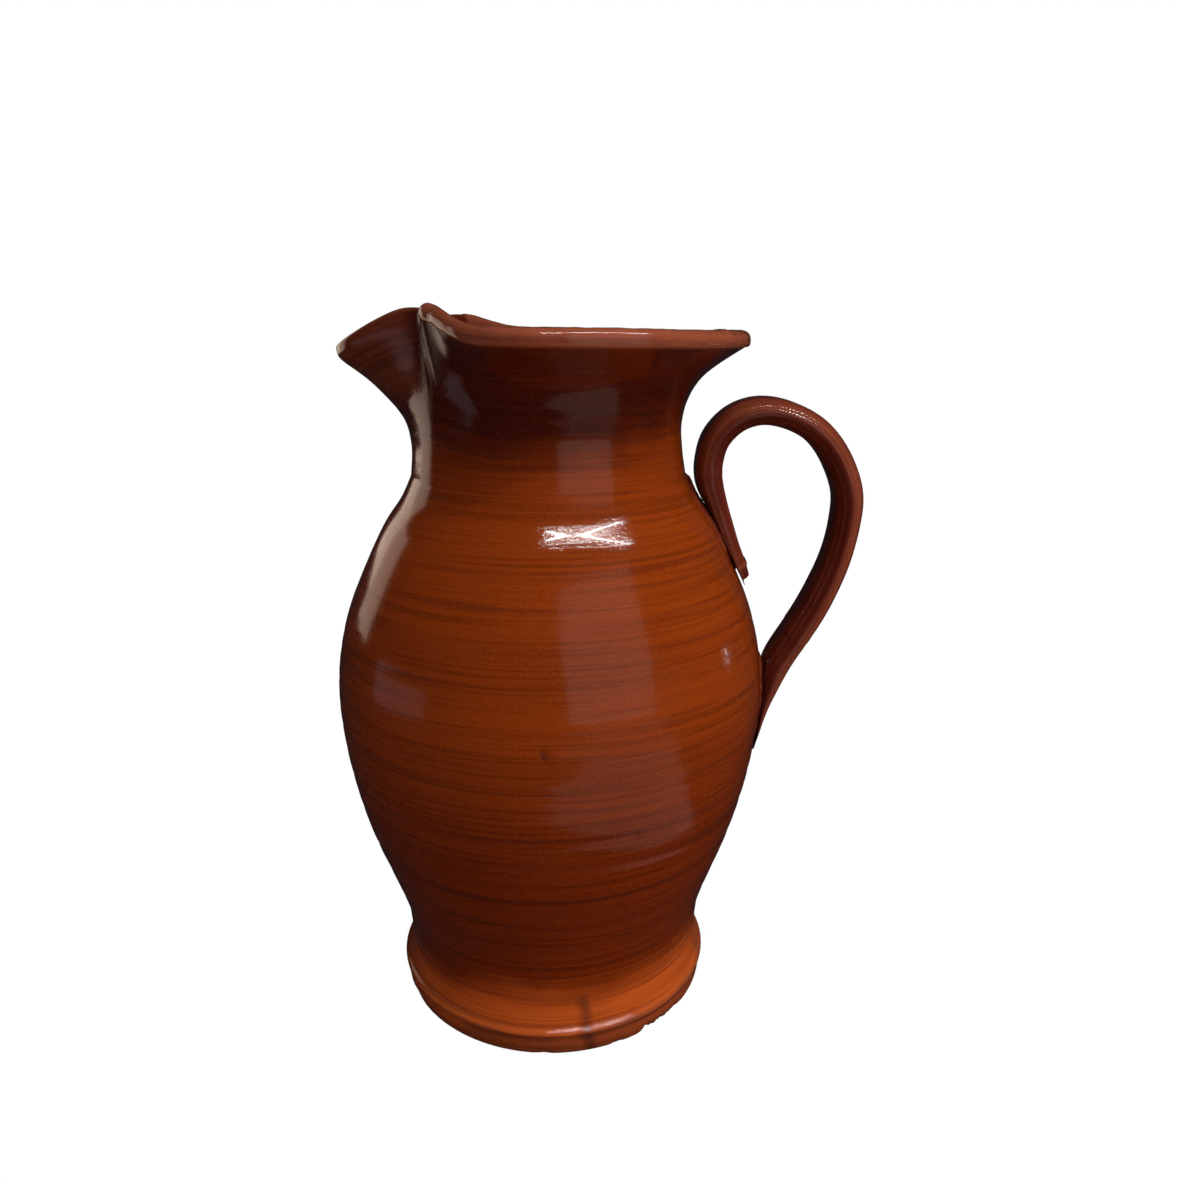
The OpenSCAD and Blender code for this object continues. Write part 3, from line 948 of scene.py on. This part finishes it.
class Recipe:
    """A small helper that lays out one material's nodes."""

    def __init__(self, name):
        self.material = bpy.data.materials.new(name)
        self.material.use_nodes = True
        self.tree = self.material.node_tree
        self.shader = self.tree.nodes["Principled BSDF"]

    def node(self, kind, **settings):
        node = self.tree.nodes.new(kind)
        for key, value in settings.items():
            setattr(node, key, value)
        return node

    def link(self, source, target):
        self.tree.links.new(source, target)

    def fill(self, socket, value):
        if isinstance(value, bpy.types.NodeSocket):
            self.link(value, socket)
        else:
            socket.default_value = value

    def amount(self, name):
        """The number that each vertex keeps under a name."""
        return self.node("ShaderNodeAttribute", attribute_name=name).outputs["Fac"]

    def place(self, name):
        """The place that each vertex keeps under a name, where the patterns are read."""
        return self.node("ShaderNodeAttribute", attribute_name=name).outputs["Vector"]

    def split(self, vector):
        node = self.node("ShaderNodeSeparateXYZ")
        self.link(vector, node.inputs[0])
        return node.outputs

    def stretch(self, vector, scale, shift=(0, 0, 0)):
        node = self.node("ShaderNodeMapping")
        self.link(vector, node.inputs["Vector"])
        node.inputs["Scale"].default_value = scale
        node.inputs["Location"].default_value = shift
        return node.outputs["Vector"]

    def noise(self, vector, scale=1.0, detail=3.0, rough=0.55):
        node = self.node("ShaderNodeTexNoise")
        self.link(vector, node.inputs["Vector"])
        node.inputs["Scale"].default_value = scale
        node.inputs["Detail"].default_value = detail
        node.inputs["Roughness"].default_value = rough
        return node.outputs["Fac"]

    def math(self, operation, a, b):
        node = self.node("ShaderNodeMath", operation=operation)
        self.fill(node.inputs[0], a)
        self.fill(node.inputs[1], b)
        return node.outputs[0]

    def times(self, a, b):
        return self.math("MULTIPLY", a, b)

    def plus(self, a, b):
        return self.math("ADD", a, b)

    def about_zero(self, value, reach):
        """A pattern from 0 to 1, moved to swing about zero."""
        return self.times(self.math("SUBTRACT", value, 0.5), reach)

    def span(self, value, low, high, to_low=0.0, to_high=1.0):
        node = self.node("ShaderNodeMapRange", interpolation_type="SMOOTHSTEP")
        self.fill(node.inputs["Value"], value)
        for key, number in (("From Min", low), ("From Max", high), ("To Min", to_low),
                            ("To Max", to_high)):
            node.inputs[key].default_value = number
        return node.outputs["Result"]

    def blend(self, amount, a, b, how="MIX"):
        node = self.node("ShaderNodeMix", data_type="RGBA", blend_type=how)
        self.fill(node.inputs["Factor"], amount)
        self.fill(node.inputs["A"], opaque(a))
        self.fill(node.inputs["B"], opaque(b))
        return node.outputs["Result"]

    def shaded(self, colour, shade):
        """The colour made darker or lighter by a number about 1."""
        return self.blend(1.0, colour, self.blend(shade, (0, 0, 0), (1, 1, 1)), "MULTIPLY")

    def ramp(self, value, stops):
        node = self.node("ShaderNodeValToRGB")
        band = node.color_ramp
        band.interpolation = "LINEAR"
        while len(band.elements) < len(stops):
            band.elements.new(0.5)
        for element, (at, colour) in zip(band.elements, stops):
            element.position = at
            element.color = opaque(colour)
        self.fill(node.inputs["Fac"], value)
        return node.outputs["Color"]

    def bump(self, height, distance, strength=1.0, under=None):
        node = self.node("ShaderNodeBump")
        node.inputs["Distance"].default_value = distance
        node.inputs["Strength"].default_value = strength
        self.fill(node.inputs["Height"], height)
        if under is not None:
            self.link(under, node.inputs["Normal"])
        return node.outputs["Normal"]

    def gloss(self, colour, roughness, normal):
        """Finishes the material as a clear glaze over the colour."""
        shader = self.shader
        self.link(colour, shader.inputs["Base Color"])
        self.fill(shader.inputs["Roughness"], roughness)
        self.link(normal, shader.inputs["Normal"])
        shader.inputs["IOR"].default_value = 1.52
        shader.inputs["Specular IOR Level"].default_value = 0.5
        shader.inputs["Coat Weight"].default_value = 0.35
        shader.inputs["Coat Roughness"].default_value = 0.03
        shader.inputs["Coat IOR"].default_value = 1.5
        return self.material


# Colours of the glaze by height, from the foot to the neck. Most of the steps between them are
# painted light and shade
# The foot's lower band: partly its own darker glaze, partly painted shade where it faces down
FOOT_EDGE_SHADED = (0.26, 0.05, 0.014)
# Painted light: the foot's flare faces up to the lamps and is painted brighter than the belly
FOOT_LIT_ORANGE = (0.5, 0.085, 0.012)
# Painted shade: the lower belly faces down and is painted darker than the belly above it
LOW_SHADED_BROWN = (0.165, 0.019, 0.001)
BELLY_ORANGE = (0.24, 0.034, 0.003)
# The neck: partly its own darker glaze, partly a painted shadow of the flared rim
OXBLOOD_AND_RIM_SHADOW = (0.07, 0.0075, 0.003)
# The height in metres that the colour's stops are shares of
COLOUR_H = 0.28
# Colours of the rolled rim, the strap and the joints
LIP_RED = (0.26, 0.06, 0.031)
STRAP_RED = (0.15, 0.024, 0.0125)
JOINT_DARK = (0.09, 0.012, 0.008)
JOINT_RED = (0.2, 0.04, 0.018)
# Glaze that lies thick, which also serves as painted shade, glaze worn thin over the clay, and the
# specks in it
POOL_AND_SHADE_DARK = (0.045, 0.004, 0.003)
THIN_CLAY = (0.4, 0.12, 0.045)
WALL_SPECK = (0.5, 0.13, 0.02)
STRAP_SPECK = (0.45, 0.13, 0.06)
# The bare clay below the floor, and the glaze on top of it
CLAY_DEEP = (0.3, 0.11, 0.05)
CLAY_PALE = (0.46, 0.2, 0.1)
CLAY_GRIT = (0.2, 0.075, 0.035)
CLAY_ARC = (0.22, 0.085, 0.04)
FLOOR_DARK = (0.05, 0.008, 0.004)
FLOOR_BROWN = (0.16, 0.034, 0.008)


def vessel_glaze():
    """The glaze on the turned wall. Its patterns were on the wall before it was pinched."""
    r = Recipe("vessel_glaze")
    at = r.place("turned")
    height = r.split(at)["Z"]
    fine = r.noise(r.stretch(at, (10, 10, 900)), detail=3, rough=0.6)
    brush = r.noise(r.stretch(at, (7, 7, 300), (3, 1, 5)), detail=3, rough=0.55)
    broad = r.noise(r.stretch(at, (5, 5, 48), (7, 2, 9)), detail=2)
    cloud = r.noise(at, scale=16, detail=3)
    speck = r.noise(at, scale=1700, detail=2, rough=0.6)
    grain = r.noise(at, scale=3200, detail=1)
    ripple = r.noise(at, scale=1100, detail=1, rough=0.5)

    # Height with a wavering edge, for the steps between the colours
    tall = r.plus(height, r.plus(r.about_zero(cloud, 0.03), r.about_zero(brush, 0.018)))
    # The dark neck colour, with its painted rim shadow, reaches lower on the spout's side, painting
    # that side in shade
    tall = r.plus(tall, r.times(r.split(at)["X"], -0.1))
    # The steps paint a lit foot flare, a shaded lower belly and the rim's shadow on the neck
    colour = r.ramp(r.math("DIVIDE", tall, COLOUR_H), [
        (0.0, FOOT_EDGE_SHADED), (0.027, FOOT_EDGE_SHADED), (0.04, FOOT_LIT_ORANGE), (0.07, FOOT_LIT_ORANGE),
        (0.115, LOW_SHADED_BROWN), (0.3, LOW_SHADED_BROWN), (0.5, BELLY_ORANGE), (0.8, BELLY_ORANGE),
        (0.85, OXBLOOD_AND_RIM_SHADOW), (1.0, OXBLOOD_AND_RIM_SHADOW),
    ])
    colour = r.blend(r.amount("lip"), colour, LIP_RED)
    light = r.plus(r.times(fine, 0.5), r.times(brush, 0.5))
    colour = r.shaded(colour, r.span(light, 0.36, 0.64, 0.64, 1.34))
    # Dark lines where the brush left the glaze thick
    colour = r.blend(r.times(r.span(brush, 0.56, 0.7), 0.42), colour, POOL_AND_SHADE_DARK)
    colour = r.blend(r.span(broad, 0.52, 0.75, 0.0, 0.22), colour, POOL_AND_SHADE_DARK)
    # Fine orange specks, fewer on the neck
    specks = r.times(r.span(speck, 0.45, 0.75), r.span(height, 0.2, 0.245, 0.16, 0.08))
    colour = r.blend(specks, colour, WALL_SPECK)
    colour = r.blend(r.times(r.amount("thin"), r.span(speck, 0.3, 0.7, 0.3, 0.6)), colour, THIN_CLAY)
    # Darker where the glaze lies thick, and painted shade in the ear hollows, the rings and the
    # foot's groove
    pool = r.amount("pool")
    colour = r.blend(r.times(pool, 0.75), colour, POOL_AND_SHADE_DARK)

    rough = r.plus(r.span(cloud, 0.3, 0.7, 0.04, 0.08), r.span(grain, 0.4, 0.7, 0.0, 0.02))
    # Grooves and folds are less glossy than the open wall
    rough = r.plus(rough, r.times(pool, 0.3))
    normal = r.bump(r.plus(r.times(fine, 0.35), r.times(brush, 0.8)), 0.00007)
    normal = r.bump(r.plus(ripple, r.times(grain, 0.3)), 0.00005, under=normal)
    return r.gloss(colour, rough, normal)


def strap_glaze():
    """The glaze on the handle, with fine lines along its length."""
    r = Recipe("strap_glaze")
    at = r.place("strap")
    lines = r.noise(r.stretch(at, (420, 420, 9)), detail=4, rough=0.6)
    wide_lines = r.noise(r.stretch(at, (160, 160, 6), (2, 4, 1)), detail=2)
    cloud = r.noise(at, scale=38, detail=3)
    speck = r.noise(at, scale=950, detail=2, rough=0.6)
    grain = r.noise(at, scale=2400, detail=1)
    light = r.plus(r.times(lines, 0.5), r.times(cloud, 0.5))
    colour = r.shaded(STRAP_RED, r.span(light, 0.34, 0.66, 0.6, 1.3))
    colour = r.blend(r.span(wide_lines, 0.52, 0.68, 0, 0.5), colour, POOL_AND_SHADE_DARK)
    colour = r.blend(r.span(speck, 0.62, 0.74, 0, 0.25), colour, STRAP_SPECK)
    colour = r.blend(r.times(r.amount("thin"), 0.4), colour, THIN_CLAY)
    # Painted shade on the strap's inner face and at its cut end, and partly in its fold and crease
    colour = r.blend(r.times(r.amount("pool"), 0.7), colour, POOL_AND_SHADE_DARK)
    normal = r.bump(r.plus(r.times(lines, 0.7), r.times(wide_lines, 0.8)), 0.0002, 0.7)
    normal = r.bump(r.plus(speck, grain), 0.00002, under=normal)
    return r.gloss(colour, r.span(cloud, 0.3, 0.7, 0.08, 0.16), normal)


def slip_glaze():
    """Thick glaze lying in the luted joints."""
    r = Recipe("slip_glaze")
    at = r.place("turned")
    cloud = r.noise(at, scale=220, detail=3)
    speck = r.noise(at, scale=1200, detail=2)
    colour = r.blend(r.span(cloud, 0.35, 0.65), JOINT_DARK, JOINT_RED)
    colour = r.blend(r.amount("thin"), colour, BELLY_ORANGE)
    colour = r.blend(r.times(r.amount("pool"), 0.4), colour, POOL_AND_SHADE_DARK)
    normal = r.bump(r.plus(cloud, r.times(speck, 0.3)), 0.0005, 0.7)
    return r.gloss(colour, r.span(speck, 0.3, 0.7, 0.06, 0.16), normal)


def floor_clay():
    """The floor: bare, wire-cut terracotta below, and glaze above."""
    r = Recipe("floor_clay")
    at = r.place("turned")
    height = r.split(at)["Z"]
    wave = r.node("ShaderNodeTexWave", wave_type="RINGS", rings_direction="Z")
    r.link(r.stretch(at, (1, 1, 1), (0.062, 0.018, 0)), wave.inputs["Vector"])
    wave.inputs["Scale"].default_value = 60
    wave.inputs["Distortion"].default_value = 1.2
    wave.inputs["Detail"].default_value = 2
    arcs = wave.outputs["Fac"]
    grit = r.noise(at, scale=900, detail=4, rough=0.7)
    cloud = r.noise(at, scale=28, detail=3)
    clay = r.blend(r.span(cloud, 0.3, 0.7), CLAY_DEEP, CLAY_PALE)
    clay = r.blend(r.span(grit, 0.55, 0.75, 0, 0.6), clay, CLAY_GRIT)
    clay = r.blend(r.times(arcs, 0.25), clay, CLAY_ARC)
    glazed = r.blend(r.span(cloud, 0.35, 0.65), FLOOR_DARK, FLOOR_BROWN)
    r.link(r.blend(r.span(height, 0.003, 0.006), clay, glazed), r.shader.inputs["Base Color"])
    r.link(r.span(r.plus(height, r.times(grit, 0.001)), 0.003, 0.006, 0.85, 0.14),
           r.shader.inputs["Roughness"])
    normal = r.bump(r.plus(r.times(arcs, 0.6), grit), 0.0005, 0.5)
    r.link(normal, r.shader.inputs["Normal"])
    return r.material


# ---- build --------------------------------------------------------------------------------

vessel = build_vessel()
handle = build_handle()
upper_bed = build_slip("upper_slip_bed", 178.0, 216.0, 1.3)
lower_bed = build_slip("lower_slip_bed", 101.0, 144.0, 4.1)

glaze = vessel_glaze()
red_strap = strap_glaze()
joint_glaze = slip_glaze()
clay = floor_clay()

PIECES = [
    (vessel["floor"], "wire_cut_floor", clay, "bare_clay", ["floor_disc"]),
    (vessel["foot"], "flared_foot", glaze, "amber_glaze", ["foot_ring"]),
    (vessel["belly"], "thrown_belly", glaze, "amber_glaze", ["belly_wall"]),
    (vessel["neck"], "thrown_neck", glaze, "dark_glaze", ["neck_wall"]),
    (vessel["mouth"], "pinched_mouth", glaze, "dark_glaze",
     ["flared_rim", "pouring_spout", "spout_seams"]),
    (vessel["edge"], "rolled_edge", glaze, "red_glaze", ["rolled_lip"]),
    (handle["tail"], "strap_tail", red_strap, "red_glaze", ["handle_tail"]),
    (handle["arch"], "strap_arch", red_strap, "red_glaze", ["handle_arch"]),
    (handle["foot"], "strap_foot", red_strap, "red_glaze", ["handle_foot"]),
    (upper_bed, "upper_slip_bed", joint_glaze, "dark_glaze", ["upper_slip"]),
    (lower_bed, "lower_slip_bed", joint_glaze, "dark_glaze", ["lower_slip"]),
]
for piece, name, material, slot, nodes in PIECES:
    piece.name = name
    piece.data.name = name
    piece.data.materials.clear()
    piece.data.materials.append(material)
    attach(piece, "root")
    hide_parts(*nodes)

# ---- floor, light and camera --------------------------------------------------------------

# The floor lies a hair below the base. The camera sees it white, and the pitcher is lit by its
# warm grey
FLOOR_DROP = 0.0002
FLOOR_GREY = (0.55, 0.45, 0.38)

start_fresh()
bpy.ops.mesh.primitive_plane_add(size=12, location=(0, 0, -FLOOR_DROP))
floor = bpy.context.object
floor.name = "studio_floor"
pale = Recipe("pale_floor")
seen = pale.node("ShaderNodeLightPath").outputs["Is Camera Ray"]
pale.link(pale.blend(seen, FLOOR_GREY, (0, 0, 0)), pale.shader.inputs["Base Color"])
pale.shader.inputs["Roughness"].default_value = 0.9
pale.shader.inputs["Specular IOR Level"].default_value = 0.0
pale.shader.inputs["Emission Color"].default_value = (1, 1, 1, 1)
pale.link(seen, pale.shader.inputs["Emission Strength"])
floor.data.materials.append(pale.material)
floor.visible_glossy = False

# Sizes and places of the lights are in metres
MIDDLE = (0, 0, 0.15)
WHITE = (1, 1, 1)
CREAM = (1.0, 0.91, 0.8)
WARM = (1.0, 0.85, 0.75)
PEACH = (1.0, 0.77, 0.6)
LILAC = (0.95, 0.8, 0.9)
TUBE_WHITE = (1, 0.98, 0.95)
# The two glows lie flat on the floor in front, and their sides are turned square to the pitcher
GLOW_Z = 0.002
GLOW_TURN = math.radians(-51)


def area_light(name, size, power, colour):
    """A flat soft light that the camera doesn't see."""
    light = bpy.data.lights.new(name, "AREA")
    light.shape = "RECTANGLE"
    light.size, light.size_y = size
    light.energy = power
    light.color = colour
    piece = bpy.data.objects.new(name, light)
    bpy.context.scene.collection.objects.link(piece)
    piece.visible_camera = False
    return piece


def lamp(name, centre, aim, size, power, colour=WHITE, turn=0.0, glossy=True, diffuse=True):
    """A light at centre, facing aim, turned about the way it faces."""
    piece = area_light(name, size, power, colour)
    way = (Vector(aim) - Vector(centre)).to_track_quat("-Z", "Y").to_matrix().to_4x4()
    piece.matrix_world = Matrix.Translation(centre) @ way @ Matrix.Rotation(turn, 4, "Z")
    piece.visible_glossy = glossy
    piece.visible_diffuse = diffuse


def tube(name, end_a, end_b, aim, width, power):
    """A long narrow lamp from end_a to end_b, facing aim."""
    a, b = Vector(end_a), Vector(end_b)
    piece = area_light(name, ((b - a).length, width), power, TUBE_WHITE)
    centre = (a + b) / 2
    x = (b - a).normalized()
    z = (centre - Vector(aim)).normalized()
    y = z.cross(x).normalized()
    turn = Matrix((x, y, x.cross(y))).transposed().to_4x4()
    piece.matrix_world = Matrix.Translation(centre) @ turn


def glow(name, x, y, size, power):
    """A faint warm patch on the floor, seen only in the glaze."""
    lamp(name, (x, y, GLOW_Z), (x, y, 1.0), size, power, WARM, turn=GLOW_TURN, diffuse=False)


# Lights that are only seen reflected in the glaze
REFLECTED = [
    ("side_window_back", (-0.352, 0.268, 0.31), (-0.055, -0.028, 0.31), (0.12, 0.25), 0.12, PEACH),
    ("side_window_front", (-0.425, 0.17, 0.25), (-0.055, -0.028, 0.25), (0.14, 0.21), 0.08, PEACH),
    ("front_panel", (0.55, -0.83, 0.42), (0.03, -0.07, 0.16), (0.84, 0.84), 0.8, CREAM),
    ("left_panel", (-0.54, -0.16, 0.088), (-0.04, -0.06, 0.15), (0.34, 0.11), 0.024, LILAC),
    ("right_spot", (1.0, 0.3, 0.09), (0.066, -0.047, 0.157), (0.02, 0.03), 0.02, WHITE),
]

lamp("overhead_soft", (0.6, -0.6, 1.35), MIDDLE, (1.3, 1.1), 14.5, glossy=False)
lamp("low_right_fill", (0.75, -0.35, 0.12), (0.0, 0.0, 0.05), (0.3, 0.2), 1.3, glossy=False)
tube("ceiling_tube", (0.0, -0.83, 1.505), (1.05, -0.385, 1.24), (0.016, -0.057, 0.205), 0.011, 6.5)
for light in REFLECTED:
    lamp(*light, diffuse=False)
glow("near_glow", 0.17, -0.21, (0.26, 0.24), 0.04)
glow("far_glow", 0.41, -0.505, (0.46, 0.6), 0.12)

# The world is white to the camera, nearly black in the glaze, and a soft grey light otherwise
SKY_GREY = (0.15, 0.15, 0.155, 1)
SKY_SEEN = (1, 1, 1, 1)
SKY_GLINT = (0.012, 0.011, 0.012, 1)

world = bpy.data.worlds.new("studio")
bpy.context.scene.world = world
world.use_nodes = True
sky = world.node_tree
path = sky.nodes.new("ShaderNodeLightPath")
tone = sky.nodes.new("ShaderNodeMix")
tone.data_type = "RGBA"
sky.links.new(path.outputs["Is Camera Ray"], tone.inputs["Factor"])
tone.inputs["A"].default_value = SKY_GREY
tone.inputs["B"].default_value = SKY_SEEN
glint = sky.nodes.new("ShaderNodeMix")
glint.data_type = "RGBA"
sky.links.new(path.outputs["Is Glossy Ray"], glint.inputs["Factor"])
sky.links.new(tone.outputs["Result"], glint.inputs["A"])
glint.inputs["B"].default_value = SKY_GLINT
sky.links.new(glint.outputs["Result"], sky.nodes["Background"].inputs["Color"])

view = bpy.context.scene.view_settings
view.view_transform = "Standard"
view.look = "None"

camera_data = bpy.data.cameras.new("camera")
camera_data.sensor_width = 36
camera_data.lens = 28.99
camera = bpy.data.objects.new("camera", camera_data)
camera.location = (0.0283, -0.3677, 0.27)
camera.rotation_euler = (math.radians(74.6), 0, math.radians(1.97))
bpy.context.scene.collection.objects.link(camera)
bpy.context.scene.camera = camera

bpy.context.view_layer.update()
